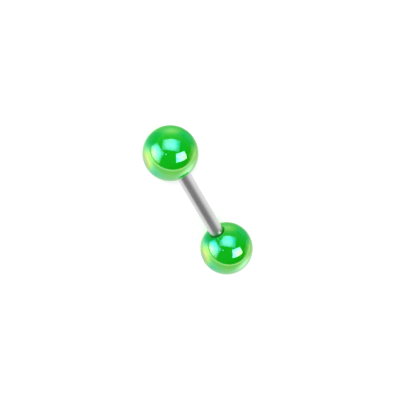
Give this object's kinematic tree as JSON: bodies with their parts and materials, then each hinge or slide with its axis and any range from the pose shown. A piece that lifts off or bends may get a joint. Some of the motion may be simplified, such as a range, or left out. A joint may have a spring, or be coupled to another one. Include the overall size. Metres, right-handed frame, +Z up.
{
  "type": "tongue barbell",
  "caption": "Straight barbell for a tongue piercing: a smooth steel bar with a threaded stud at each end, and a glossy green ball screwed on to each stud.",
  "frame": {"origin": "on the surface that the barbell lies on, straight below the middle of the bar", "axes": "+X along the bar towards the top ball, +Z up from the surface"},
  "size_m": [0.0214, 0.006, 0.006],
  "materials": {
    "steel": "polished surgical steel with faint lines along the bar",
    "green_acrylic": "glossy bright green acrylic with a pearly coat that shines mint, teal and yellow"
  },
  "bodies": {
    "bar": {"bar": "steel"},
    "top_ball": {"top_ball": "green_acrylic"},
    "bottom_ball": {"bottom_ball": "green_acrylic"}
  },
  "joints": [
    {"name": "top_ball_off", "type": "slide", "parent": "bar", "child": "top_ball", "axis": [1, 0, 0], "range_m": [0, 0.014]},
    {"name": "bottom_ball_off", "type": "slide", "parent": "bar", "child": "bottom_ball", "axis": [-1, 0, 0], "range_m": [0, 0.014]}
  ]
}
